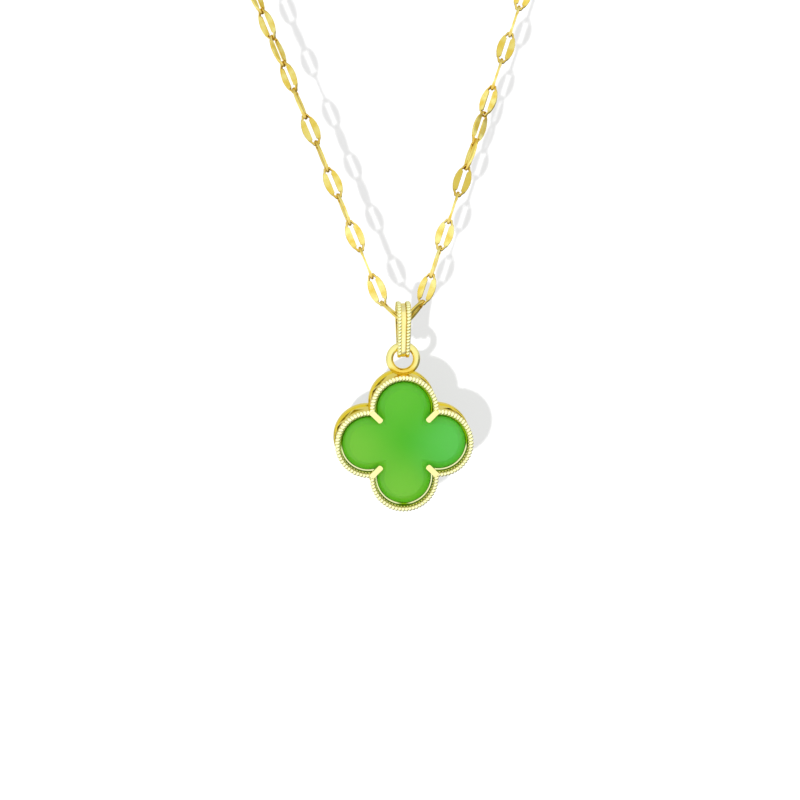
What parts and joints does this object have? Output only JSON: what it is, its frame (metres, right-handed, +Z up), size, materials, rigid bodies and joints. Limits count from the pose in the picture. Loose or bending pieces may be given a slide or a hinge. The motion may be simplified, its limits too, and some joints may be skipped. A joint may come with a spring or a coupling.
{
  "type": "clover pendant necklace",
  "caption": "Clover-shaped pendant: deep pierced gold-coloured setting, green cut stone, tapered bail and lip-link chain, hanging as worn.",
  "frame": {"origin": "middle of the space for the neck, inside the chain's loop", "axes": "+Z up, the front of the pendant faces -Y, X is sideways"},
  "size_m": [0.0978, 0.1369, 0.1457],
  "materials": {
    "gold": "polished yellow gold plating",
    "green_stone": "polished, slightly translucent"
  },
  "bodies": {
    "necklace": {"chain": "gold", "clasp": "gold", "clasp_ring": "gold", "end_ring": "gold"},
    "bail_band": {"bail": "gold"},
    "clover": {"setting": "gold", "clover_stone": "green_stone"}
  },
  "joints": [
    {"name": "bail_swing", "type": "hinge", "parent": "necklace", "child": "bail_band", "pos_m": [0, -0.09058, -0.10152], "axis": [1, 0, 0], "range_deg": [-60, 20]},
    {"name": "pendant_swing", "type": "hinge", "parent": "bail_band", "child": "clover", "pos_m": [0, -0.09058, -0.1054], "axis": [0, 1, 0], "range_deg": [-60, 60]}
  ]
}
